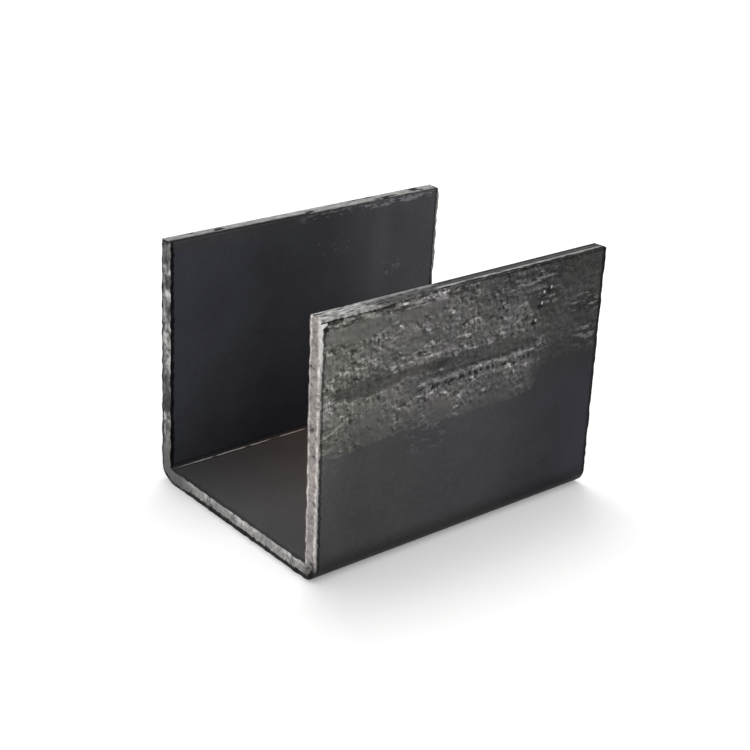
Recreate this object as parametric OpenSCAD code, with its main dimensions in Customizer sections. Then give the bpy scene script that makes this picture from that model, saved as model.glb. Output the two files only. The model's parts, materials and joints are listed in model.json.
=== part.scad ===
// Short length of steel channel, bent from one strip of plate and sawn off at both ends.
// It lies on its web with the open side up. The origin is the middle of the web's underside:
// X runs across the web, Y along the length and Z up the flanges.

/* [Section] */
// Width over the outer faces of the flanges
channel_w = 50; // [30:1:100]
// Height from the underside of the web to the flange tips
channel_h = 50; // [25:1:100]
// Thickness of the plate
plate_t = 3; // [2:0.1:5]
// Radius that softens both corners of a flange tip
tip_r = 0.4; // [0.1:0.1:0.9]

/* [Bends] */
// Radius on the inside of the left bend
left_inside_r = 1; // [0.2:0.1:4]
// Radius on the inside of the right bend, which is the tighter one
right_inside_r = 0.2; // [0.2:0.1:4]
// Angle that the left flange is bent through, leaning in past 90 degrees
left_bend = 91.7; // [86:0.05:94]
// Angle that the right flange is bent through, leaning in past 90 degrees
right_bend = 90; // [86:0.05:94]

/* [Length] */
// Length between the two sawn ends, along the outer face of the right flange
channel_l = 67; // [20:1:300]
// Angle that the back end is sawn off square, which makes the left flange the shorter one
back_cut_angle = 2.2; // [0:0.1:5]

/* [Hidden] */
$fn = 96;
mill_scale = [0.24, 0.24, 0.25];
saw_waste = 5;

// Radius on the outside of a bend
function outside_r(inside_r) = inside_r + plate_t;

// Length of the web's flat from the middle of the channel to where a bend starts
function web_run(inside_r) = channel_w / 2 - outside_r(inside_r);

// Length of the flat of a flange, so that the higher corner of its tip is at the full height
function flange_run(lean, inside_r) =
    (channel_h - outside_r(inside_r) * (1 + sin(lean)) - max(0, -plate_t * sin(lean))) / cos(lean);

// Flat of a flange, standing on X with its outer face away from Y and both tip corners rounded
module flange_flat(run, inside_r) {
    below_tip = run - tip_r;
    translate([inside_r, 0]) {
        square([plate_t, below_tip]);
        translate([0, below_tip]) {
            translate([tip_r, 0]) square([plate_t - 2 * tip_r, tip_r]);
            for (across = [tip_r, plate_t - tip_r])
                translate([across, 0]) circle(tip_r);
        }
    }
}

// Bend of the plate about the origin, from the foot of the flange on X round to a little past straight down
module bend(inside_r) {
    intersection() {
        difference() {
            circle(outside_r(inside_r));
            circle(inside_r);
        }
        polygon(2 * outside_r(inside_r) * [[0, 0], [1, 0], [1, -1], [-0.2, -1]]);
    }
}

// Bend and flange of the right side, about the centre of their bend, cut off where the web starts
module bent_side(angle, inside_r) {
    lean = angle - 90;
    translate([web_run(inside_r), outside_r(inside_r)])
        difference() {
            rotate(lean) {
                bend(inside_r);
                flange_flat(flange_run(lean, inside_r), inside_r);
            }
            translate([-channel_w, -channel_w]) square(channel_w);
        }
}

// Whole section, with the web's underside on X
module section() {
    translate([-web_run(left_inside_r), 0])
        square([web_run(left_inside_r) + web_run(right_inside_r), plate_t]);
    bent_side(right_bend, right_inside_r);
    mirror([1, 0]) bent_side(left_bend, left_inside_r);
}

// Stock with its square front end, and some waste to be sawn off at the back
module stock() {
    translate([0, channel_l / 2 + saw_waste, 0])
        rotate([90, 0, 0])
            linear_extrude(channel_l + saw_waste)
                section();
}

// Everything behind the back cut, which turns about the outer face of the right flange
module behind_back_cut() {
    translate([channel_w / 2, channel_l / 2, -1])
        rotate(back_cut_angle)
            translate([-2 * channel_w, 0, 0])
                cube([3 * channel_w, channel_w, channel_h + 2]);
}

module channel() {
    color(mill_scale)
        difference() {
            stock();
            behind_back_cut();
        }
}

channel();
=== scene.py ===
import json
import math
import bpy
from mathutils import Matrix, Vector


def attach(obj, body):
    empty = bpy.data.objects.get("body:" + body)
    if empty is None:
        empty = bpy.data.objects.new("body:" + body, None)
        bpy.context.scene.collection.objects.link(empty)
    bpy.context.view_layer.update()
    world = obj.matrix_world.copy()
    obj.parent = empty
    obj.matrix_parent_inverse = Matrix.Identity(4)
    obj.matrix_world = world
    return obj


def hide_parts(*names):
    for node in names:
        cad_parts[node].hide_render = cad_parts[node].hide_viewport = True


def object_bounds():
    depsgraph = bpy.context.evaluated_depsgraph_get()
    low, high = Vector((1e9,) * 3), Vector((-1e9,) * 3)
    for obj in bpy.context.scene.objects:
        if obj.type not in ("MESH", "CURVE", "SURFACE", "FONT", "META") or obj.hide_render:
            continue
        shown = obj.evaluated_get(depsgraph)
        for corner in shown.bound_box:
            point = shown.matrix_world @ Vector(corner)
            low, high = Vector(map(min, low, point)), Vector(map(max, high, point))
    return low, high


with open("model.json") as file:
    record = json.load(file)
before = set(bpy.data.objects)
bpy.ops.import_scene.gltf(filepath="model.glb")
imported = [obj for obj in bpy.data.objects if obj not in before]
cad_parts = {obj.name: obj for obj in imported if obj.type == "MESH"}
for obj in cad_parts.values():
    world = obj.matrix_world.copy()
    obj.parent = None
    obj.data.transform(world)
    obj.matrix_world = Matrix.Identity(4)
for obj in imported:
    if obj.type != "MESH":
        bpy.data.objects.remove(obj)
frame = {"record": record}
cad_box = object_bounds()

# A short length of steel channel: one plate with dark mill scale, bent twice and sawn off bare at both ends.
from types import SimpleNamespace

import bpy
from mathutils import Matrix, Vector

# Sizes of the channel, in metres, from the frame and its stated faces
MM = 0.001
LOWEST, HIGHEST = cad_box
WIDTH = HIGHEST.x - LOWEST.x
LENGTH = HIGHEST.y - LOWEST.y
HEIGHT = HIGHEST.z - LOWEST.z
FACES = {mount["name"]: mount for mount in frame["record"]["mounts"]}
WALL = FACES["web_inside"]["pos_m"][2]
LEFT_AXIS = FACES["left_flange_face"]["axis"]
RIGHT_AXIS = FACES["right_flange_face"]["axis"]
LEFT_LEAN = math.atan2(LEFT_AXIS[2], -LEFT_AXIS[0])
RIGHT_LEAN = math.atan2(RIGHT_AXIS[2], RIGHT_AXIS[0])
BACK_AXIS = FACES["back_end"]["axis"]
BACK_SLOPE = -BACK_AXIS[0] / BACK_AXIS[1]

# Radii that the frame doesn't state: of the bends, inside and outside, and of the edges
LEFT_INSIDE = 1.0 * MM
RIGHT_INSIDE = 0.2 * MM
LEFT_BEND = WALL + LEFT_INSIDE
RIGHT_BEND = WALL + RIGHT_INSIDE
TIP_ROUND = 0.4 * MM
SAWN_ROUND = 0.12 * MM


class Port:
    """An output of a node. Arithmetic on it adds Math nodes to the same tree."""

    def __init__(self, graph, socket):
        self.graph = graph
        self.socket = socket

    def __getitem__(self, name):
        return Port(self.graph, self.socket.node.outputs[name])

    def __add__(self, other):
        return self.graph.math("ADD", self, other)

    def __radd__(self, other):
        return self.graph.math("ADD", other, self)

    def __sub__(self, other):
        return self.graph.math("SUBTRACT", self, other)

    def __rsub__(self, other):
        return self.graph.math("SUBTRACT", other, self)

    def __mul__(self, other):
        return self.graph.math("MULTIPLY", self, other)

    def __rmul__(self, other):
        return self.graph.math("MULTIPLY", other, self)

    def __truediv__(self, other):
        return self.graph.math("DIVIDE", self, other)

    def __rtruediv__(self, other):
        return self.graph.math("DIVIDE", other, self)

    def __pow__(self, other):
        return self.graph.math("POWER", self, other)

    def __abs__(self):
        return self.graph.math("ABSOLUTE", self)

    def __lt__(self, other):
        return self.graph.math("LESS_THAN", self, other)

    def __gt__(self, other):
        return self.graph.math("GREATER_THAN", self, other)


class Graph:
    """A node tree that is written as calls and expressions."""

    def __init__(self, tree):
        self.tree = tree

    def add(self, kind, settings=None, inputs=None, output=None):
        """New node of that kind, with its settings first and then the values or links of its sockets."""
        node = self.tree.nodes.new(kind)
        for name, value in (settings or {}).items():
            if name == "captures":
                for item_kind, item_name in value:
                    node.capture_items.new(item_kind, item_name)
            else:
                setattr(node, name, value)
        for name, value in (inputs or {}).items():
            self.plug(node, name, value)
        shown = [socket for socket in node.outputs if socket.enabled]
        if not shown:
            return node
        return Port(self, node.outputs[output] if output else shown[0])

    def plug(self, node, name, value):
        """Links a port to the named socket of the node, or sets its value."""
        socket = next(s for s in node.inputs if s.enabled and name in (s.name, s.identifier))
        if isinstance(value, Port):
            self.tree.links.new(value.socket, socket)
        else:
            socket.default_value = value

    def lerp(self, share, first, second):
        """Number that goes from the first to the second as share goes from 0 to 1."""
        return first + share * (second - first)

    def window(self, value, low, high, soft):
        """1 while value is between low and high, with edges of that softness."""
        rise = self.ramp(value, low - soft, low + soft)
        return rise * self.ramp(value, high + soft, high - soft)

    def spot(self, a, b, centre, half, soft=0.5):
        """1 inside an oval about the centre, fading out across its rim."""
        da = (a - centre[0]) / half[0]
        db = (b - centre[1]) / half[1]
        return self.ramp(da * da + db * db, 1 + soft, 1 - soft)

    def math(self, operation, *terms):
        """Result of a Math node on those terms."""
        names = ("Value", "Value_001", "Value_002")
        return self.add("ShaderNodeMath", {"operation": operation}, dict(zip(names, terms)))

    def least(self, a, b):
        return self.math("MINIMUM", a, b)

    def most(self, a, b):
        return self.math("MAXIMUM", a, b)

    def ramp(self, value, low, high, start=0.0, end=1.0, curve="SMOOTHSTEP"):
        """Goes from start to end as value goes from low to high, and stays there outside."""
        ends = {"Value": value, "From Min": low, "From Max": high, "To Min": start, "To Max": end}
        return self.add("ShaderNodeMapRange", {"interpolation_type": curve}, ends)

    def vector(self, x, y, z):
        return self.add("ShaderNodeCombineXYZ", {}, {"X": x, "Y": y, "Z": z})

    def split(self, vector):
        parts = self.add("ShaderNodeSeparateXYZ", {}, {"Vector": vector})
        return parts["X"], parts["Y"], parts["Z"]

    def noise(self, vector, size, detail=2.0, rough=0.5, warp=0.0):
        """Cloud noise from 0 to 1 with blotches of about that size, in the units of the vector."""
        looks = {"Scale": 1 / size, "Detail": detail, "Roughness": rough, "Distortion": warp}
        return self.add("ShaderNodeTexNoise", {}, {"Vector": vector, **looks})

    def mix(self, share, first, second):
        """Colour that goes from the first to the second as share goes from 0 to 1."""
        ends = {"Factor": share, "A": first, "B": second}
        return self.add("ShaderNodeMix", {"data_type": "RGBA"}, ends)


# The plate is made flat, rounded and burred at its edges, and then bent up about two lines

# Points along the strip, along the length and through the wall
STRIP_STEPS = 301
LENGTH_STEPS = 141
WALL_STEPS = 9
SOFT_ANGLE = math.radians(40)

# Shares of the steps from the strip's middle at which the web, the bend and the flange below its tip end
WEB_STEPS = 0.22
BEND_STEPS = 0.36
FLANGE_STEPS = 0.90
TIP_ZONE = 1.6 * MM

# Share of the steps from the middle of the length at which the zone of the saw cut starts
MIDDLE_STEPS = 0.78
SAWN_ZONE = 2.0 * MM

# How far the saw cut wanders inwards, how high its burr is and how far both reach from the end
SAW_WANDER = 0.22 * MM
BURR = 0.14 * MM
SAW_REACH = 0.9 * MM

# Share of the burr on the outer faces, and the distance past the bend over which it rises there
OUTER_BURR = 0.3
OUTER_RISE = 2.0 * MM

# Sizes, in millimetres, of the blotches that shape the cut and the burr
WANDER_BLOTCH = 2.2
BURR_BLOTCH = 1.6

# Shifts that make the two ends and the two faces differ
END_SHIFT = 40.0
FACE_SHIFT = 9.0


def plate_side(g, given, along_strip):
    """Bend of the side that a point is on, and how long its flats and its bend are."""
    on_right = along_strip > 0.0
    lean = g.lerp(on_right, given["Left lean"], given["Right lean"])
    outside = g.lerp(on_right, given["Left bend"], given["Right bend"])
    angle = lean + math.pi / 2
    web_half = given["Half width"] - outside
    bend_run = angle * (outside - given["Wall"] / 2)
    flange_run = (given["Height"] - outside * (1 + g.math("SINE", lean))) / g.math("COSINE", lean)
    return SimpleNamespace(
        sign=g.math("SIGN", along_strip),
        angle=angle,
        outside=outside,
        web_half=web_half,
        bend_run=bend_run,
        flange_run=flange_run,
        strip_end=web_half + bend_run + flange_run,
    )


def strip_reach(g, side, along_strip):
    """Distance from the middle along the strip, with more steps in the bend and at the tip."""
    share = abs(along_strip)
    web_share = g.ramp(share, 0.0, WEB_STEPS, curve="LINEAR")
    bend_share = g.ramp(share, WEB_STEPS, BEND_STEPS, curve="LINEAR")
    flange_share = g.ramp(share, BEND_STEPS, FLANGE_STEPS, curve="LINEAR")
    tip_share = g.ramp(share, FLANGE_STEPS, 1.0, curve="LINEAR")
    below_tip = side.flange_run - TIP_ZONE
    reach = side.web_half * web_share + side.bend_run * bend_share + below_tip * flange_share
    return reach + TIP_ZONE * (1 - (1 - tip_share) ** 2)


def distance_from_end(g, length, along_length):
    """Distance from the nearer sawn end, with more steps close to it."""
    along = abs(along_length)
    close = (1 - g.ramp(along, MIDDLE_STEPS, 1.0, curve="LINEAR")) ** 2 * SAWN_ZONE
    middle_share = g.ramp(along, 0.0, MIDDLE_STEPS, curve="LINEAR")
    return (length / 2 - SAWN_ZONE) * (1 - middle_share) + close


def rounded(g, a, b, radius):
    """Distances from two faces that meet, moved onto a round edge of that radius."""
    da = g.most(radius - a, 0.0)
    db = g.most(radius - b, 0.0)
    pull = g.least(radius / g.most(g.math("SQRT", da * da + db * db), 1e-9), 1.0)
    return a + da * (1 - pull), b + db * (1 - pull)


def roughened_cut(g, given, side, reach, end, face, from_end, from_face):
    """Distances from the end and the face, with an uneven saw cut and a thin burr kept off the floor."""
    along_strip = reach * side.sign / MM
    near_end = g.ramp(from_end, 0.0, SAW_REACH, 1.0, 0.0)
    wander_place = g.vector(along_strip, end * END_SHIFT, from_face / MM * face)
    wander = g.ramp(g.noise(wander_place, WANDER_BLOTCH, 2.0, 0.6), 0.3, 0.7)
    from_end = from_end + near_end * given["Saw wander"] * wander
    burr_place = g.vector(along_strip, end * END_SHIFT, face * FACE_SHIFT)
    burr = g.ramp(g.noise(burr_place, BURR_BLOTCH, 2.0, 0.6), 0.30, 0.70, -0.6, 1.0)
    on_inside = face > 0.0
    off_floor = g.most(on_inside, g.ramp(reach - side.web_half - side.bend_run, 0.0, OUTER_RISE))
    burr_height = given["Burr"] * g.lerp(on_inside, OUTER_BURR, 1.0)
    from_face = from_face - near_end * burr_height * g.lerp(off_floor, g.least(burr, 0.0), burr)
    return from_end, from_face


def bent_place(g, given, side, reach, depth, end, from_end):
    """Place of a point of the flat plate once it is bent up and its back end is cut at a slant."""
    radius = side.outside - depth
    turned = side.angle * g.ramp((reach - side.web_half) / side.bend_run, 0.0, 1.0, curve="LINEAR")
    risen = g.most(reach - side.web_half - side.bend_run, 0.0)
    across = g.least(reach, side.web_half) + radius * g.math("SINE", turned)
    across = (across + risen * g.math("COSINE", side.angle)) * side.sign
    up = side.outside - radius * g.math("COSINE", turned) + risen * g.math("SINE", side.angle)
    square_cut = end * (given["Length"] / 2 - from_end)
    to_back = g.ramp(square_cut, 0.0, given["Length"] / 2 - SAWN_ZONE, curve="LINEAR")
    lengthwise = square_cut + to_back * given["Back slope"] * (across - given["Half width"])
    return across, lengthwise, up


def with_finishes(g, plate, facing, finishes):
    """The plate shaded smooth except at its sharp edges, with the finish of each kind of face."""
    soft_edge = g.add("GeometryNodeInputMeshEdgeAngle") < SOFT_ANGLE
    for domain, soft in (("FACE", True), ("EDGE", soft_edge)):
        links = {"Geometry": plate, "Shade Smooth": soft}
        plate = g.add("GeometryNodeSetShadeSmooth", {"domain": domain}, links)
    plate = g.add("GeometryNodeRealizeInstances", {}, {"Geometry": plate})
    faces_strip, faces_length, _ = g.split(facing)
    chosen_by = {"scale": True, "tip": abs(faces_strip) > 0.5, "sawn": abs(faces_length) > 0.5}
    for name, chosen in chosen_by.items():
        links = {"Geometry": plate, "Selection": chosen, "Material": finishes[name]}
        plate = g.add("GeometryNodeSetMaterial", {}, links)
    return plate


def bent_plate_tree(inputs, finishes):
    """Node tree of the channel: a flat plate, its edges rounded and burred, then bent about two lines."""
    tree = bpy.data.node_groups.new("bent_plate", "GeometryNodeTree")
    sockets = {}
    for name in inputs:
        sockets[name] = tree.interface.new_socket(name=name, in_out="INPUT", socket_type="NodeSocketFloat")
    tree.interface.new_socket(name="Geometry", in_out="OUTPUT", socket_type="NodeSocketGeometry")
    g = Graph(tree)
    given = g.add("NodeGroupInput")

    # Flat plate from -1 to 1 each way, with the way that each face points kept from before the bending
    steps = {"Vertices X": STRIP_STEPS, "Vertices Y": LENGTH_STEPS, "Vertices Z": WALL_STEPS}
    flat = g.add("GeometryNodeMeshCube", {}, {"Size": (2, 2, 2), **steps})
    captured = g.add(
        "GeometryNodeCaptureAttribute",
        {"domain": "FACE", "captures": [("VECTOR", "Facing")]},
        {"Geometry": flat, "Facing": g.add("GeometryNodeInputNormal")},
    )
    along_strip, along_length, through = g.split(g.add("GeometryNodeInputPosition"))
    side = plate_side(g, given, along_strip)
    end = g.math("SIGN", along_length)
    face = g.math("SIGN", through)

    # Distances from the tip, the sawn end and the nearer face, with round edges and a rough cut
    half_wall = given["Wall"] / 2
    from_tip = side.strip_end - strip_reach(g, side, along_strip)
    from_end = distance_from_end(g, given["Length"], along_length)
    from_face = half_wall * (1 - g.math("SINE", abs(through) * (math.pi / 2)))
    from_tip, from_face = rounded(g, from_tip, from_face, TIP_ROUND)
    from_end, from_face = rounded(g, from_end, from_face, SAWN_ROUND)
    from_end, from_tip = rounded(g, from_end, from_tip, TIP_ROUND)
    reach = side.strip_end - from_tip
    from_end, from_face = roughened_cut(g, given, side, reach, end, face, from_end, from_face)

    # Bent place, with the place on the flat plate kept for the finishes
    depth = half_wall + face * (half_wall - from_face)
    across, lengthwise, up = bent_place(g, given, side, reach, depth, end, from_end)
    on_plate = g.vector(reach * side.sign, lengthwise, depth)
    stored = g.add(
        "GeometryNodeStoreNamedAttribute",
        {"data_type": "FLOAT_VECTOR", "domain": "POINT"},
        {"Geometry": captured["Geometry"], "Name": "plate", "Value": on_plate},
    )
    bent_links = {"Geometry": stored, "Position": g.vector(across, lengthwise, up)}
    bent = g.add("GeometryNodeSetPosition", {}, bent_links)
    g.add("NodeGroupOutput", {}, {"Geometry": with_finishes(g, bent, captured["Facing"], finishes)})
    return tree, sockets


def make_channel(finishes):
    """The whole channel as one plain mesh, made by its node tree."""
    inputs = {
        "Wall": WALL,
        "Length": LENGTH,
        "Height": HEIGHT,
        "Half width": WIDTH / 2,
        "Left bend": LEFT_BEND,
        "Right bend": RIGHT_BEND,
        "Left lean": LEFT_LEAN,
        "Right lean": RIGHT_LEAN,
        "Back slope": BACK_SLOPE,
        "Saw wander": SAW_WANDER,
        "Burr": BURR,
    }
    tree, sockets = bent_plate_tree(inputs, finishes)
    maker = bpy.data.objects.new("plate_maker", bpy.data.meshes.new("plate_maker"))
    bpy.context.scene.collection.objects.link(maker)
    modifier = maker.modifiers.new("bent_plate", "NODES")
    modifier.node_group = tree
    for name, value in inputs.items():
        modifier[sockets[name].identifier] = value
    evaluated = maker.evaluated_get(bpy.context.evaluated_depsgraph_get())
    mesh = bpy.data.meshes.new_from_object(evaluated)
    mesh.name = "channel_steel"
    mesh.materials.pop(index=list(mesh.materials).index(None))
    bpy.data.objects.remove(maker)
    channel = bpy.data.objects.new("channel_steel", mesh)
    bpy.context.scene.collection.objects.link(channel)
    return channel


# Finishes: tones are shares of light that the surface gives back, and places are in millimetres

FRONT = LOWEST.y / MM
BACK = HIGHEST.y / MM
RIGHT = HIGHEST.x / MM
TIP = HIGHEST.z / MM
HALF_WALL = WALL / 2 / MM
# Distance along the flat strip from its middle to just below a flange tip, which the bends shorten
SHORTER_BY = 6.0
REACH = WIDTH / 2 / MM + TIP - SHORTER_BY
# Specular level of scale, which is nearly matt
SHEEN = 0.08

# Tones of the faces and the sawn ends
RUBBED_FRONT = 0.153
RUBBED_REST = 0.116
RUBBED_BACK = 0.052
LOW_FRONT = 0.056
LOW_BACK = 0.027
PLAIN = 0.047
WEB_FRONT = 0.079
WEB_BACK = 0.088
# Tone of the painted highlight along the crease inside the bends
CREASE_HIGHLIGHT = 0.38
BACK_BURR = 0.28
WEB_END = 0.30
RIGHT_END = 0.295
LEFT_END = 0.185

# Tints that a tone is multiplied by
BLACK = (0, 0, 0, 1)
PLAIN_TINT = (0.99, 0.99, 1.06, 1)
WARM_TINT = (1.015, 1.0, 0.955, 1)
VIOLET_TINT = (1.025, 0.98, 1.015, 1)
BLUE_TINT = (0.95, 0.96, 1.32, 1)
OLIVE_TINT = (0.99, 1.01, 0.90, 1)
BROWN_TINT = (1.04, 0.985, 0.95, 1)
BLUISH_TINT = (0.93, 0.96, 1.16, 1)
RUST_TINT = (1.20, 0.96, 0.86, 1)
METAL_TINT = (1.0, 0.98, 0.96, 1)
SAWN_TINT = (1.0, 0.985, 0.97, 1)
SAWN_RIGHT_TINT = (1.0, 0.92, 0.885, 1)
TIP_TINT = (1.0, 0.99, 0.98, 1)


def new_finish(name):
    """Material with its graph, the place on the object and the place on the flat plate."""
    material = bpy.data.materials.new(name)
    material.use_nodes = True
    material.node_tree.nodes.clear()
    g = Graph(material.node_tree)
    place = g.add("ShaderNodeTexCoord", output="Object")
    plate = g.add("ShaderNodeAttribute", {"attribute_name": "plate"}, output="Vector")
    millimetres = [
        g.add("ShaderNodeVectorMath", {"operation": "SCALE"}, {"Vector": vector, "Scale": 1 / MM})
        for vector in (place, plate)
    ]
    return material, g, *millimetres


def close_finish(g, looks):
    """Ends the graph with a surface of those looks."""
    shader = g.add("ShaderNodeBsdfPrincipled", {}, looks)
    g.add("ShaderNodeOutputMaterial", {}, {"Surface": shader})


def stretched(g, place, along):
    """The place with its length shrunk, so that blotches on it run along the channel."""
    x, y, z = g.split(place)
    return g.vector(x, y * along, z)


def ridge_shading_noise(g, place, size, rise):
    """Painted shading of fine ridges lit from above: light and dark pairs, from about -1 to 1."""
    shift = (0, 0.7 * rise, rise)
    lifted = g.add("ShaderNodeVectorMath", {"operation": "ADD"}, {"Vector": place, "Vector_001": shift})
    return 5.0 * (g.noise(place, size, 3.0, 0.6) - g.noise(lifted, size, 3.0, 0.6))


def distance_from_back(x, y):
    """Distance from the slanting back cut, along the length."""
    return BACK + (x - RIGHT) * BACK_SLOPE - y


# Marks on the right flange, as middle and half size along the length and up, and how strong each patch is
SMOOTH_PATCHES = [
    ((-26, 46.4), (7, 1.9), 0.75),
    ((-13, 47.4), (6, 1.4), 0.65),
    ((-21.5, 28.0), (4.2, 3.2), 0.45),
    ((-6.5, 27.2), (4, 2.6), 0.7),
    ((8, 25.8), (4, 1.6), 0.5),
]
DARK_STREAKS = [((-22, 35.6), (7, 1.6)), ((-10, 36.0), (6, 1.1)), ((4, 35.5), (12, 1.6))]
BACK_WISPS = [
    ((30, 40.0), (4.5, 2.2)),
    ((30, 33.0), (3.5, 2.6)),
    ((17.5, 43.3), (4.5, 2.2)),
    ((16, 47.3), (7, 1.3)),
]
LOOSE_BITS = [((-9, 22.0), (6, 2.8)), ((-32, 23.5), (4, 3.0))]

# Bright specks there, as middles, with the half sizes of a speck and of the dark round it
BRIGHT_SPECKS = [(19.6, 44.8), (17.8, 44.2), (17.4, 42.1), (16.1, 39.0)]
SPECK_HALF = (0.24, 0.32)
SPECK_DARK_HALF = (0.7, 0.6)

# Heights between which the band comes up, and between which its lines lie
BAND_RISE = (23.5, 31.0)
BAND_EDGE = (24.3, 25.0)
DARK_DOTS = (31.5, 32.5)
BRIGHT_LINE = (32.8, 33.4)
DARK_ABOVE = (33.7, 34.3)
SHORT_STROKE = (37.6, 38.1)

# Places along the length between which the lines run
LINE_RUN = (-12.0, 16.5)
SHORT_RUN = (-11.0, -3.5)

# Slanting strokes at the front: the rise per length, their heights at the middle and where each comes in
SLANT = 0.37
SLANTING_STROKES = [((39.9, 40.4), (-26.0, -30.0)), ((37.1, 37.5), (-28.5, -31.0))]

# Scuffs on the inner face of the left flange, as middle and half size along the length and up
LEFT_SPECKS = ((5, 42.3), (4.5, 2.2))
LEFT_SCUFFS = ((19.7, 35.2), (2.4, 2.0))


def rubbed_noises(g, place):
    """Noises of the rubbed face, each about 0: drift, cloud, painted shading of fine ridges, strokes, pits
    and long runs.
    """
    return SimpleNamespace(
        drift=g.noise(stretched(g, place, 0.45), 3.5, 3.0) - 0.5,
        cloud=g.noise(stretched(g, place, 0.5), 5.0, 2.0) - 0.5,
        # Painted shading of fine ridges, as light and dark pairs
        ridge_shading=ridge_shading_noise(g, place, 0.95, 0.35) + 0.6 * ridge_shading_noise(g, place, 1.7, 0.6),
        strokes=g.noise(stretched(g, place, 0.45), 0.85, 2.0, 0.6) - 0.5,
        pits=g.noise(stretched(g, place, 0.8), 0.9, 2.0, 0.6) - 0.5,
        run=g.noise(stretched(g, place, 0.25), 0.8, 2.0, 0.6) - 0.5,
    )


def rubbed_band(g, y, z, noises):
    """How far the rubbed band covers the dark face below it, with its foot higher towards the back."""
    drift, strokes = noises.drift, noises.strokes
    above_foot = z - g.ramp(y + 9.0 * drift + 6.0 * strokes, 14.0, 20.5, 0.0, 5.5)
    broad_rise = g.ramp(above_foot + 3.0 * drift, *BAND_RISE)
    sharp_edge = g.ramp(above_foot + 1.5 * drift + 1.5 * strokes, *BAND_EDGE)
    return 0.7 * broad_rise + 0.3 * sharp_edge


def rubbed_ground(g, place, y, z, noises):
    """Tone of the band with its streaks, ridges and pits, dying out towards the back."""
    drift, strokes, pits = noises.drift, noises.strokes, noises.pits
    to_back = g.ramp(y + 16.0 * drift + 8.0 * pits, 11.5, 21.5)
    level = g.ramp(y, -30.0, -10.0, RUBBED_FRONT, RUBBED_REST) * g.ramp(z, 26.0, 33.0, 0.97, 1.0)
    level = level * (1 - 0.36 * g.ramp(z, 40.0, 46.0) * g.ramp(y, -4.0, 9.0))
    tone = g.lerp(to_back, level, RUBBED_BACK) * (1 + 0.9 * noises.cloud)
    rough = g.ramp(g.noise(stretched(g, place, 0.6), 3.0), 0.40, 0.58, 0.5, 1.2)
    rough = g.lerp(to_back, rough, 0.5)
    for middle, half in DARK_STREAKS:
        streak = g.spot(y + 12.0 * drift + 3.0 * pits, z + 2.0 * drift + 1.5 * strokes, middle, half, 0.35)
        tone = tone * (1 - 0.42 * streak)
        rough = rough * (1 - 0.6 * streak)

    # Painted ridge shading, strokes and pits, fainter in smooth patches
    for middle, half, strength in SMOOTH_PATCHES:
        rough = rough * (1 - strength * g.spot(y + 6.0 * drift, z + 2.0 * drift, middle, half, 0.25))
    contrast = 0.95 * noises.ridge_shading + 1.1 * g.ramp(strokes, 0.04, 0.18) - 1.2 * g.ramp(pits, -0.04, -0.16)
    return tone * g.math("POWER", 2.0, rough * contrast)


def with_lines(g, tone, y, z, noises):
    """The tone with its bright broken line, dark above it and dotted under it, and with shorter strokes."""
    drift, strokes = noises.drift, noises.strokes
    line_height = z + 2.2 * drift - 0.015 * y
    along_line = g.window(y, *LINE_RUN, 1.5)
    broken = g.ramp(strokes + 0.5 * drift, -0.08, 0.06)
    line = g.window(line_height, *BRIGHT_LINE, 0.22) * along_line * broken
    dots = g.window(line_height, *DARK_DOTS, 0.3) * along_line * g.ramp(noises.pits, 0.03, -0.06)
    above = g.window(line_height, *DARK_ABOVE, 0.25) * along_line

    # Shorter strokes above the line and slanting ones at the front
    short = g.window(z + 2.0 * drift, *SHORT_STROKE, 0.25) * g.window(y, *SHORT_RUN, 1.0)
    line = line + short * g.ramp(strokes, -0.15, 0.0)
    slant = z - SLANT * y + 2.0 * drift
    for heights, comes_in in SLANTING_STROKES:
        line = line + g.window(slant, *heights, 0.3) * g.ramp(y, *comes_in)
    return (tone * (1 - 0.45 * above) + 0.17 * line) * (1 - 0.7 * dots)


def with_small_marks(g, tone, y, z, noises):
    """The tone with strokes just below the tip, pale wisps near the back end and bright specks."""
    drift, strokes, run = noises.drift, noises.strokes, noises.run
    under_tip = g.window(z + 1.0 * drift, TIP - 2.3, TIP - 0.7, 0.3) * g.ramp(y, 6.0, -6.0)
    tone = tone * g.math("POWER", 2.0, under_tip * g.ramp(run, -0.14, 0.14, -1.6, 1.2))
    wisp_place = 0.0
    for middle, half in BACK_WISPS:
        wisp_place = g.most(wisp_place, g.spot(y + 6.0 * drift, z + 3.0 * drift, middle, half, 0.6))
    wisp = g.ramp(run + 0.5 * strokes + 0.04 * noises.ridge_shading, -0.02, 0.15, 0.0, 0.14)
    tone = tone * (1 - 0.4 * wisp_place) + wisp_place * wisp
    for middle in BRIGHT_SPECKS:
        dark = g.spot(y + 0.5, z + 0.5, middle, SPECK_DARK_HALF, 0.5)
        speck = g.spot(y - 0.4 * strokes, z - 0.4 * noises.pits, middle, SPECK_HALF, 0.6)
        tone = tone * (1 - 0.7 * dark) + 0.42 * speck
    return tone


def rubbed_tone(g, place, low_tone):
    """Tone of the right flange's outer face: dark below, and rubbed grey with streaks and specks above."""
    _, y, z = g.split(place)
    noises = rubbed_noises(g, place)
    band = rubbed_band(g, y, z, noises)
    tone = rubbed_ground(g, place, y, z, noises)
    tone = with_lines(g, tone, y, z, noises)
    tone = with_small_marks(g, tone, y, z, noises)

    # Loose bits of the band on the dark face just below it
    loose = 0.0
    for middle, half in LOOSE_BITS:
        loose = loose + g.spot(y, z, middle, half, 0.7)
    low_tone = low_tone + loose * g.ramp(noises.strokes + 0.06 * noises.ridge_shading, 0.04, 0.16, 0.0, 0.03)
    return g.lerp(band, low_tone, tone), band, noises.cloud


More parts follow.
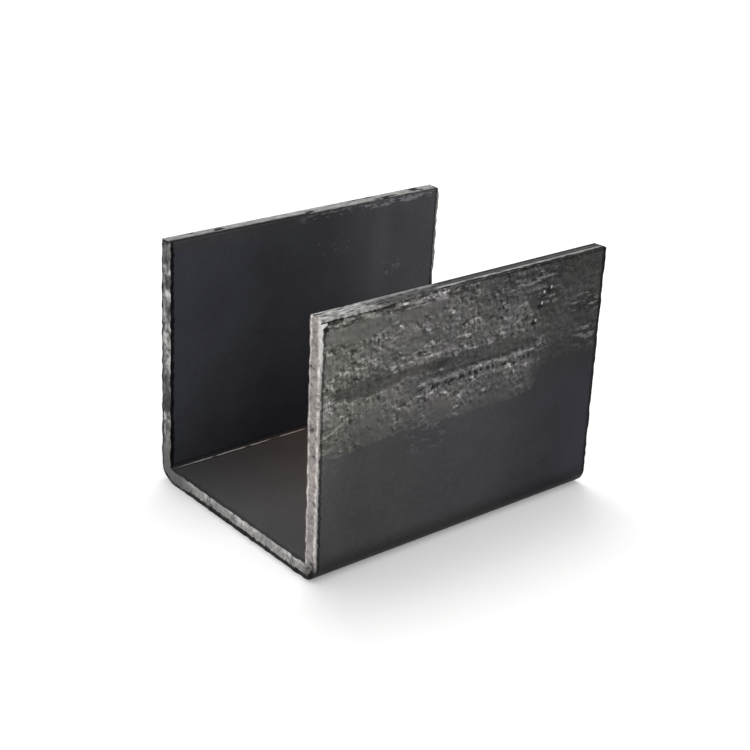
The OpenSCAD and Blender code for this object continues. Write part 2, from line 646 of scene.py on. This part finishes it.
def left_inside_marks(g, place):
    """Extra tone of the scuffs on the inner face of the left flange."""
    _, y, z = g.split(place)
    scratch = g.noise(stretched(g, place, 0.6), 0.9, 2.0, 0.6, 0.8)
    specks = g.spot(y, z, *LEFT_SPECKS, 0.7) * g.ramp(scratch, 0.58, 0.70, 0.0, 0.06)
    scuffs = g.spot(y, z, *LEFT_SCUFFS, 0.8) * g.ramp(scratch, 0.50, 0.64, 0.0, 0.06)
    smear = g.window(y, 14.5, 19.0, 2.0) * g.ramp(z, 27.0, 36.0, 0.0, 0.015)
    worn = g.window(z + 1.5 * (scratch - 0.5), TIP - 1.5, TIP - 0.5, 0.3) * g.ramp(y, -6.0, 2.0)
    worn = worn * g.ramp(g.noise(stretched(g, place, 0.25), 0.55, 2.0), 0.48, 0.62, 0.0, 0.16)
    return specks + scuffs + smear + worn


def scale_places(g, place, plate):
    """Where on the rolled faces a place is, and the noises that their marks share."""
    x, y, z = g.split(place)
    strip, _, depth = g.split(plate)
    inside = g.ramp(depth, 1.2, 1.8)
    on_web = inside * g.ramp(z, 4.4, 3.2)
    return SimpleNamespace(
        place=place,
        y=y,
        z=z,
        strip=strip,
        inside=inside,
        on_web=on_web,
        on_right=g.ramp(x, RIGHT - 1.6, RIGHT - 0.6),
        on_left=inside * g.ramp(x, -18.0, -19.5) * (1 - on_web),
        from_front=y - FRONT,
        from_back=distance_from_back(x, y),
        cloud=g.noise(place, 9.0, 2.0) - 0.5,
        fine=g.noise(stretched(g, place, 0.7), 0.6, 3.0, 0.6) - 0.5,
        ragged=g.noise(place, 0.9, 3.0) - 0.5,
    )


def face_tones(g, at):
    """Tone of the rolled faces, with how far the rubbed band covers the right one and the band's clouds."""
    y, z, cloud, fine = at.y, at.z, at.cloud, at.fine
    low_tone = g.lerp(g.ramp(y, 0.0, 26.0), LOW_FRONT, LOW_BACK) * (1 + 0.5 * cloud + 0.5 * fine)
    low_tone = low_tone * (1 + 0.5 * g.ramp(at.from_front, 9.0, 0.0) * g.ramp(z, 2.0, 22.0))
    # Painted shade: the face darkens to a quarter over its lowest few millimetres, at the bend by the floor
    low_tone = low_tone * g.ramp(z + 1.2 * at.ragged, 1.0, 6.0, 0.25, 1.0)
    right_tone, band, band_cloud = rubbed_tone(g, at.place, low_tone)
    plain_tone = PLAIN * (1 + 0.5 * cloud + 0.4 * fine) * g.ramp(y, -20.0, -8.0, 1.2, 1.0)
    plain_tone = plain_tone * g.ramp(z, 6.0, 26.0, 0.8, 1.0) * g.ramp(y, 0.0, 24.0, 1.0, 1.55)
    plain_tone = plain_tone + at.on_left * left_inside_marks(g, at.place)
    web_tone = g.lerp(g.ramp(y, -30.0, 5.0), WEB_FRONT, WEB_BACK) * (1 + 0.3 * cloud + 0.3 * fine)
    tone = g.lerp(at.on_right, g.lerp(at.on_web, plain_tone, web_tone), right_tone)
    return tone, band, band_cloud


def with_crease_highlight_and_shade(g, at, tone):
    """The tone with a thin, pale, broken painted highlight along the crease inside both bends, and painted
    shade on each side of it.
    """
    broken = g.ramp(g.noise(stretched(g, at.place, 0.5), 1.2, 2.0), 0.36, 0.58, 0.2, 1.3)
    broken = broken * g.ramp(at.from_front, 0.5, 7.0, 0.3, 1.0) * g.ramp(at.y, 0.0, 20.0, 1.0, 0.6)
    across = abs(at.strip) + 0.6 * at.ragged
    # Painted highlight along the crease inside the bends, and painted shade beside it
    crease_highlight = at.inside * g.window(across, 22.2, 22.7, 0.12) * broken
    crease_shade = at.inside * g.window(across, 21.5, 25.0, 0.2)
    return tone * (1 - 0.6 * crease_shade) + CREASE_HIGHLIGHT * crease_highlight


def with_worn_edges(g, at, tone):
    """The tone with burrs, a bare rim under the right tip and dark lines by them, and how bare it is."""
    y, z, ragged, on_right = at.y, at.z, at.ragged, at.on_right

    # Burr along the front of the outer faces, and the dark beside it
    outer = g.most(on_right, 0.4 * (1 - at.inside))
    corner = on_right * g.ramp(z, TIP - 14.0, TIP - 4.0)
    burr_place = at.from_front + 0.9 * ragged
    burr_width = 0.42 + 0.2 * corner + 0.8 * g.ramp(z, TIP - 2.0, TIP - 1.2)
    burr = outer * g.ramp(burr_place, burr_width + 0.1, burr_width - 0.1) * g.ramp(z, TIP - 0.85, TIP - 1.05)
    burr = burr * g.ramp(z + 2.0 * ragged, 1.5, 4.5)
    beside_burr = outer * g.window(burr_place, burr_width + 0.15, burr_width + 0.65, 0.12)

    # Bare rim under the right tip, and dark lines at the inner front, the back and the rim
    bare_rim = on_right * g.ramp(z + 0.7 * ragged, TIP - 0.75, TIP - 0.55)
    bare_rim = bare_rim * g.ramp(y + 10.0 * at.fine, -20.0, -25.0)
    inner_line = at.inside * g.ramp(at.from_front + 1.2 * ragged, 1.1, 0.7) * (1 - 0.6 * at.on_web)
    back_line = g.ramp(at.from_back + 0.5 * ragged, 1.2, 0.7)
    rim_height = z + 0.5 * ragged - g.ramp(y, -20.0, -8.0, 0.0, 0.45)
    rim_line = on_right * g.window(rim_height, TIP - 1.05, TIP - 0.65, 0.15)
    rim_line = rim_line * g.ramp(at.fine, -0.1, 0.05, 0.3, 0.8)
    tone = tone * (1 - 0.65 * beside_burr) * (1 - 0.85 * inner_line)
    tone = tone * (1 - 0.85 * back_line) * (1 - rim_line)

    # Pale burr at the back of the left flange, and the bare metal of the front
    back_burr = at.on_left * g.ramp(at.from_back + 0.6 * ragged, 0.75, 0.45) * g.ramp(z, 28.0, 34.0)
    tone = g.lerp(back_burr, tone, BACK_BURR)
    bright = g.lerp(g.ramp(ragged, -0.15, 0.15), 0.30, 0.50) + 0.35 * corner
    bare = g.most(burr, 0.9 * bare_rim)
    tone = g.lerp(bare, tone, g.lerp(bare_rim, bright, 0.36 + 1.2 * ragged))
    return tone, g.most(bare, back_burr)


def scale_tint(g, at, band, band_cloud, bare):
    """Tint of the scale: bluish low at the back, olive and brown at the front, and rust brown on the web."""
    y, z, on_right = at.y, at.z, at.on_right
    blue_share = on_right * g.ramp(y + 12.0 * at.cloud, 2.0, 30.0) * g.ramp(band, 0.35, 0.0)
    blue_share = blue_share * g.ramp(z + 6.0 * at.cloud, 30.0, 23.0)
    olive_share = on_right * g.ramp(y, -6.0, -28.0) * g.ramp(band, 0.0, 0.4, 0.35, 1.0)
    brown_share = on_right * band * g.ramp(band_cloud, 0.0, 0.12, 0.0, 0.7) * g.ramp(y, 6.0, -4.0)
    bluish_share = at.on_left * g.ramp(y, 14.0, -2.0, 0.35, 1.0) * g.ramp(z, TIP - 2.5, TIP - 1.8, 1.0, 0.1)
    rust_share = at.on_web * g.ramp(y, -30.0, 0.0, 0.2, 1.0)
    mottled = g.mix(g.ramp(g.noise(at.place, 6.0, 1.0), 0.35, 0.65), WARM_TINT, VIOLET_TINT)
    tint = g.mix(on_right * band, PLAIN_TINT, mottled)
    tint = g.mix(blue_share, tint, BLUE_TINT)
    tint = g.mix(olive_share, tint, OLIVE_TINT)
    tint = g.mix(brown_share, tint, BROWN_TINT)
    tint = g.mix(bluish_share, tint, BLUISH_TINT)
    tint = g.mix(rust_share, tint, RUST_TINT)
    return g.mix(bare, tint, METAL_TINT)


def scale_finish():
    """Dark mill scale of the rolled faces, rubbed in places and worn to bare metal at the sawn ends."""
    material, g, place, plate = new_finish("mill_scale")
    at = scale_places(g, place, plate)
    tone, band, band_cloud = face_tones(g, at)
    tone = with_crease_highlight_and_shade(g, at, tone)
    tone, bare = with_worn_edges(g, at, tone)
    colour = g.mix(tone, BLACK, scale_tint(g, at, band, band_cloud, bare))
    roughness = g.lerp(band * at.on_right, 0.42, 0.62)
    close_finish(g, {"Base Color": colour, "Roughness": roughness, "Specular IOR Level": SHEEN})
    return material


def sawn_finish():
    """Bare steel of the sawn ends, with bright burrs on the right and painted shade along the lower edge of
    the web.
    """
    material, g, place, plate = new_finish("sawn_steel")
    strip, along, depth = g.split(plate)
    blotch = g.noise(place, 1.8, 3.0, 0.6) - 0.5
    broad = g.noise(place, 3.2, 2.0, 0.5) - 0.5
    fine = g.noise(place, 0.7, 2.0, 0.6) - 0.5

    # Parts of the section, from the middle of the web out along the strip
    to_right = g.ramp(strip, 20.0, 28.0)
    to_left = g.ramp(strip, -13.0, -19.0)
    up_left = g.ramp(strip, -27.0, -31.0)
    in_left_bend = to_left * (1 - up_left)
    in_right_bend = g.window(strip + 2.0 * blotch, 21.5, 24.5, 0.8)
    on_web = (1 - to_right) * (1 - to_left)

    # Blotches and dark spots all over, and large patches up the left flange, which is darker at its top
    spots = g.ramp(blotch, -0.08, -0.18) * (1 - in_left_bend)
    mottle = g.lerp(in_left_bend, 1.8, 0.5) * blotch + g.lerp(in_left_bend, 1.3, 0.4) * fine
    tone = g.lerp(to_left, g.lerp(to_right, WEB_END, RIGHT_END), LEFT_END)
    tone = tone * (1 + mottle) * (1 - 0.55 * spots)
    patches = g.ramp(broad + 0.5 * blotch, -0.2, 0.2, -1.9, 1.3) * g.ramp(along, 0.0, -20.0, 0.5, 1.0)
    tone = tone * g.math("POWER", 2.0, up_left * patches)
    tone = tone * (1 - 0.6 * g.ramp(strip, 3.5 - REACH, 1.5 - REACH))

    # Light edges on the right and on top of the web, painted shade along the lower edge of the web and the
    # outer edge of the left flange, and a dark inner edge on the right
    light_edges = g.ramp(abs(depth - HALF_WALL) + 0.6 * fine + 0.5 * blotch, 0.7, 1.2)
    upper_edge = g.ramp(depth + 0.8 * fine, 2.0, 2.5) * g.ramp(broad, -0.10, 0.10)
    tone = tone * (1 + 0.8 * to_right * light_edges + 0.55 * on_web * upper_edge)
    tone = tone * (1 - 0.35 * in_left_bend) * (1 - 0.4 * in_right_bend)
    # Painted shade along the outer edge: under the web by the floor, and along the outer edge of the left
    # flange
    shade_width = g.lerp(to_left, 1.15, 0.65)
    outer_edge_shade = g.ramp(depth + 0.7 * fine, shade_width, shade_width - 0.25) * g.ramp(strip, 26.0, 23.5)
    inner_edge = g.ramp(depth + 0.4 * fine, 2.65, 2.85) * to_right
    tone = tone * (1 - 0.95 * outer_edge_shade) * (1 - 0.75 * inner_edge)
    colour = g.mix(tone, BLACK, g.mix(to_right, SAWN_TINT, SAWN_RIGHT_TINT))
    close_finish(g, {"Base Color": colour, "Roughness": 0.5, "Metallic": 1.0})
    return material


def left_tip_tone(g, y, depth, grain, blotch):
    """Left tip: grey outer part towards the front, and grey all over with dark spots towards the back."""
    past_front = g.ramp(y + 6.0 * blotch, -5.0, -1.0)
    grey = g.ramp(depth + 1.2 * grain, g.lerp(past_front, 2.4, 2.9), g.lerp(past_front, 1.8, 2.4))
    grey = grey * g.ramp(depth + 0.8 * grain, 0.1, 0.5)
    return 0.008 + grey * (0.28 + 0.65 * grain + 0.3 * blotch) * g.ramp(blotch, -0.16, -0.08)


def right_tip_tone(g, y, depth, grain, blotch):
    """Right tip: bare at the front, then half worn, and worn along a thin line towards the back."""
    worn_line = g.window(depth + 0.8 * grain, 0.45, 1.05, 0.18) * g.ramp(blotch, -0.2, -0.08, 0.3, 1.0)
    grey_line = g.window(depth + 0.8 * grain, 1.4, 1.9, 0.2)
    back_tone = 0.012 + worn_line * (0.28 + 0.6 * grain + 0.3 * blotch) + 0.06 * grey_line
    inner_rim = g.ramp(depth + 1.2 * grain, 1.5, 2.3)
    half_worn_tone = 0.07 + 0.17 * inner_rim + 0.45 * grain + 0.2 * blotch
    bare_tone = (0.29 + 1.6 * grain + 0.8 * blotch) * g.ramp(depth, 0.0, 0.4, 1.3, 1.0)
    half_worn = g.ramp(y + 6.0 * blotch, -6.5, -9.5)
    bare = g.ramp(y + 8.0 * blotch, -20.5, -24.5)
    return g.lerp(bare, g.lerp(half_worn, back_tone, half_worn_tone), bare_tone)


def tip_finish():
    """Flange tips, worn grey or bare, with a dark corner at the back."""
    material, g, place, plate = new_finish("worn_tip")
    x, y, _ = g.split(place)
    _, _, depth = g.split(plate)
    grain = g.noise(stretched(g, place, 0.3), 0.55, 3.0, 0.65) - 0.5
    blotch = g.noise(stretched(g, place, 0.4), 1.6, 2.0) - 0.5
    left_tone = left_tip_tone(g, y, depth, grain, blotch)
    right_tone = right_tip_tone(g, y, depth, grain, blotch)
    tone = g.lerp(g.ramp(x, -5.0, 5.0), left_tone, right_tone)
    tone = tone * g.ramp(distance_from_back(x, y) + 0.6 * grain, 0.4, 1.1, 0.15, 1.0)
    colour = g.mix(g.most(tone, 0.006), BLACK, TIP_TINT)
    close_finish(g, {"Base Color": colour, "Roughness": 0.55, "Specular IOR Level": SHEEN})
    return material


# Floor, light and camera


def seen_directly(g):
    """1 for rays that show the background or its mirror image, and 0 for rays that only light things."""
    path = g.add("ShaderNodeLightPath")
    seen = g.most(path["Is Camera Ray"], path["Is Glossy Ray"])
    return g.most(seen, path["Is Transmission Ray"])


def make_floor():
    """Pale floor that keeps the shadow and shows as white."""
    half = 3.0
    glow_strength = 0.19
    corners = [(-half, -half, 0), (half, -half, 0), (half, half, 0), (-half, half, 0)]
    mesh = bpy.data.meshes.new("floor")
    mesh.from_pydata(corners, [], [(0, 1, 2, 3)])
    floor = bpy.data.objects.new("floor", mesh)
    bpy.context.scene.collection.objects.link(floor)
    material = bpy.data.materials.new("pale_floor")
    material.use_nodes = True
    material.node_tree.nodes.clear()
    g = Graph(material.node_tree)
    matt = g.add("ShaderNodeBsdfDiffuse", {}, {"Color": (1.0, 1.0, 0.995, 1)})
    strength = glow_strength * seen_directly(g)
    glow = g.add("ShaderNodeEmission", {}, {"Color": (1, 1, 1, 1), "Strength": strength})
    both = g.add("ShaderNodeAddShader", {}, {"Shader": matt, "Shader_001": glow})
    g.add("ShaderNodeOutputMaterial", {}, {"Surface": both})
    mesh.materials.append(material)


def make_world():
    """Even white surroundings that light softly and show as white."""
    world = bpy.data.worlds.new("studio")
    bpy.context.scene.world = world
    world.use_nodes = True
    world.node_tree.nodes.clear()
    g = Graph(world.node_tree)
    ambient = 0.75
    strength = ambient + (1 - ambient) * seen_directly(g)
    air = g.add("ShaderNodeBackground", {}, {"Color": (1, 1, 1, 1), "Strength": strength})
    g.add("ShaderNodeOutputWorld", {}, {"Surface": air})


def add_softbox(name, place, aim, size, watts):
    """Square lamp at the place, turned to its aim."""
    lamp = bpy.data.lights.new(name, "AREA")
    lamp.shape = "SQUARE"
    lamp.size = size
    lamp.energy = watts
    softbox = bpy.data.objects.new(name, lamp)
    bpy.context.scene.collection.objects.link(softbox)
    softbox.location = place
    softbox.rotation_euler = (Vector(aim) - Vector(place)).to_track_quat("-Z", "Y").to_euler()


def make_camera():
    """Camera at the photograph's viewing angle."""
    azimuth, elevation, roll = math.radians(50.235), math.radians(23.638), math.radians(2.303)
    target = Vector((0.219, -0.971, 23.196)) * MM
    distance = 296.298 * MM
    image_size = 750
    focal_pixels = 1543.5
    back = Vector(
        (
            math.sin(azimuth) * math.cos(elevation),
            -math.cos(azimuth) * math.cos(elevation),
            math.sin(elevation),
        )
    )
    level_right = (-back).cross(Vector((0, 0, 1))).normalized()
    level_up = level_right.cross(-back)
    right = math.cos(roll) * level_right + math.sin(roll) * level_up
    up = -math.sin(roll) * level_right + math.cos(roll) * level_up
    lens = bpy.data.cameras.new("camera")
    lens.sensor_width = 36.0
    lens.lens = focal_pixels / image_size * lens.sensor_width
    lens.clip_start = 0.01
    camera = bpy.data.objects.new("camera", lens)
    bpy.context.scene.collection.objects.link(camera)
    turn = Matrix((right, up, back)).transposed().to_4x4()
    camera.matrix_world = Matrix.Translation(target + back * distance) @ turn
    bpy.context.scene.camera = camera


finishes = {"scale": scale_finish(), "sawn": sawn_finish(), "tip": tip_finish()}
channel = make_channel(finishes)
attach(channel, "root")
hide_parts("channel")

make_floor()
make_world()
add_softbox("key_softbox", place=(-0.22, 0.12, 0.75), aim=(0, 0, 0.02), size=0.30, watts=1.6)
make_camera()
bpy.context.scene.view_settings.view_transform = "Standard"
